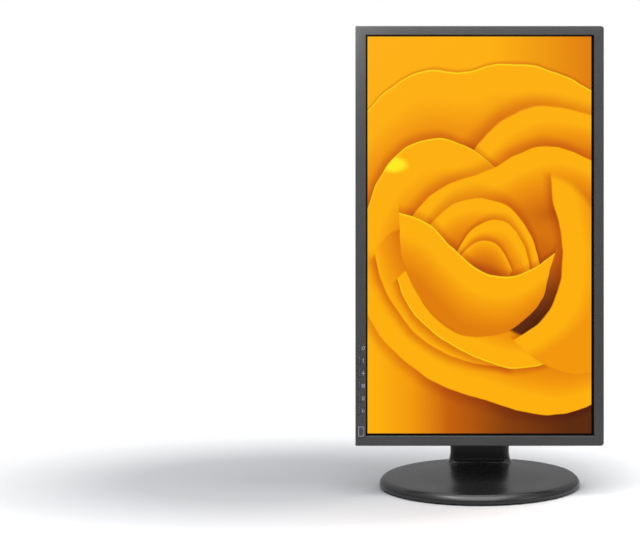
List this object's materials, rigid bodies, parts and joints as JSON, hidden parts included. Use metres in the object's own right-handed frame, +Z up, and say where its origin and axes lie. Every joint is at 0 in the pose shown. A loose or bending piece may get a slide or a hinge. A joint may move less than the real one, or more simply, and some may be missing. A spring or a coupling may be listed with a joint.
{
  "type": "computer monitor",
  "caption": "Widescreen computer monitor turned upright on a column stand with a round swivelling foot, height slide, tilt head and portrait pivot.",
  "frame": {"origin": "on the table top, under the middle of the round foot", "axes": "+Z up, the display faces -Y at rest, +X to the viewer's right"},
  "size_m": [0.3316, 0.276, 0.6277],
  "materials": {
    "bezel_plastic": "fine satin grain, dark grey",
    "cover_plastic": "textured, dark grey",
    "foot_plastic": "satin gloss, dark grey",
    "column_plastic": "satin, near black",
    "key_plastic": "satin, dark grey",
    "inside_plastic": "matt black",
    "white_plastic": "milky white",
    "screen": "matt anti-glare film, lit picture",
    "acrylic": "clear acrylic",
    "steel": "zinc plated sheet",
    "dark_steel": "dark coated steel",
    "spring_steel": "hardened spring steel",
    "aluminium": "die cast and sheet",
    "rubber": "matt",
    "board": "green solder mask",
    "nickel": "nickel plated"
  },
  "bodies": {
    "turntable": {"turntable_plate": "steel", "swivel_hub": "steel", "rubber_foot_1": "rubber", "rubber_foot_2": "rubber", "rubber_foot_3": "rubber", "rubber_foot_4": "rubber"},
    "stand": {"foot_shell": "foot_plastic", "foot_weight_plate": "dark_steel", "swivel_glide_ring": "white_plastic", "column_front_cover": "column_plastic", "column_back_cover": "column_plastic", "column_top_cap": "column_plastic", "column_rail": "steel", "foot_screw_1": "nickel", "foot_screw_2": "nickel", "cable_clip": "column_plastic", "lift_spring_strip": "spring_steel"},
    "carriage": {"height_carriage": "aluminium", "guide_shoe_left": "white_plastic", "guide_shoe_right": "white_plastic", "lift_spring_pin": "nickel", "tilt_shaft": "nickel"},
    "lift_coil": {"lift_spring_coil": "spring_steel"},
    "tilt_head": {"tilt_bracket": "dark_steel", "tilt_friction_washer_left": "spring_steel", "tilt_friction_washer_right": "spring_steel", "head_cover": "column_plastic"},
    "panel": {"pivot_plate": "steel", "pivot_spindle": "nickel", "pivot_spring_washer": "spring_steel", "pivot_nut": "nickel", "plate_screw_1": "nickel", "plate_screw_2": "nickel", "plate_screw_3": "nickel", "plate_screw_4": "nickel", "front_bezel": "bezel_plastic", "rear_cover": "cover_plastic", "screen_glass": "screen", "module_frame": "steel", "optical_sheets": "white_plastic", "light_guide": "acrylic", "backlight_strip": "white_plastic", "module_back_tray": "steel", "timing_board": "board", "board_carrier": "steel", "main_board": "board", "power_board": "board", "board_shield": "aluminium", "key_board": "board", "power_inlet": "inside_plastic", "digital_video_socket": "nickel", "analogue_video_socket": "nickel", "sound_socket": "inside_plastic"},
    "menu_key_1": {"menu_key_1": "key_plastic"},
    "menu_key_2": {"menu_key_2": "key_plastic"},
    "menu_key_3": {"menu_key_3": "key_plastic"},
    "menu_key_4": {"menu_key_4": "key_plastic"},
    "menu_key_5": {"menu_key_5": "key_plastic"},
    "menu_key_6": {"menu_key_6": "key_plastic"},
    "power_key": {"power_key": "key_plastic"}
  },
  "joints": [
    {"name": "swivel", "type": "hinge", "parent": "turntable", "child": "stand", "pos_m": [0, 0, 0], "axis": [0, 0, 1], "range_deg": [-45, 45]},
    {"name": "height", "type": "slide", "parent": "stand", "child": "carriage", "axis": [0, 0, 1], "range_m": [-0.03, 0.025]},
    {"name": "lift_coil_turn", "type": "hinge", "parent": "carriage", "child": "lift_coil", "pos_m": [0, 0.0887, 0.364], "axis": [1, 0, 0], "range_deg": [-173, 208]},
    {"name": "tilt", "type": "hinge", "parent": "carriage", "child": "tilt_head", "pos_m": [0, 0.03067, 0.34101], "axis": [-1, 0, 0], "range_deg": [-10, 15]},
    {"name": "pivot", "type": "hinge", "parent": "tilt_head", "child": "panel", "pos_m": [0, -0.055, 0.3485], "axis": [0, -0.9962, 0.0872], "range_deg": [0, 90]},
    {"name": "menu_key_1_press", "type": "slide", "parent": "panel", "child": "menu_key_1", "axis": [0, 0.9962, -0.0872], "range_m": [0, 0.0006], "stiffness_N_per_m": 1500},
    {"name": "menu_key_2_press", "type": "slide", "parent": "panel", "child": "menu_key_2", "axis": [0, 0.9962, -0.0872], "range_m": [0, 0.0006], "stiffness_N_per_m": 1500},
    {"name": "menu_key_3_press", "type": "slide", "parent": "panel", "child": "menu_key_3", "axis": [0, 0.9962, -0.0872], "range_m": [0, 0.0006], "stiffness_N_per_m": 1500},
    {"name": "menu_key_4_press", "type": "slide", "parent": "panel", "child": "menu_key_4", "axis": [0, 0.9962, -0.0872], "range_m": [0, 0.0006], "stiffness_N_per_m": 1500},
    {"name": "menu_key_5_press", "type": "slide", "parent": "panel", "child": "menu_key_5", "axis": [0, 0.9962, -0.0872], "range_m": [0, 0.0006], "stiffness_N_per_m": 1500},
    {"name": "menu_key_6_press", "type": "slide", "parent": "panel", "child": "menu_key_6", "axis": [0, 0.9962, -0.0872], "range_m": [0, 0.0006], "stiffness_N_per_m": 1500},
    {"name": "power_key_press", "type": "slide", "parent": "panel", "child": "power_key", "axis": [0, 0.9962, -0.0872], "range_m": [0, 0.0006], "stiffness_N_per_m": 1500}
  ],
  "couplings": [
    {"joint": "lift_coil_turn", "follows": "height", "rad_per_m": -120.48}
  ]
}
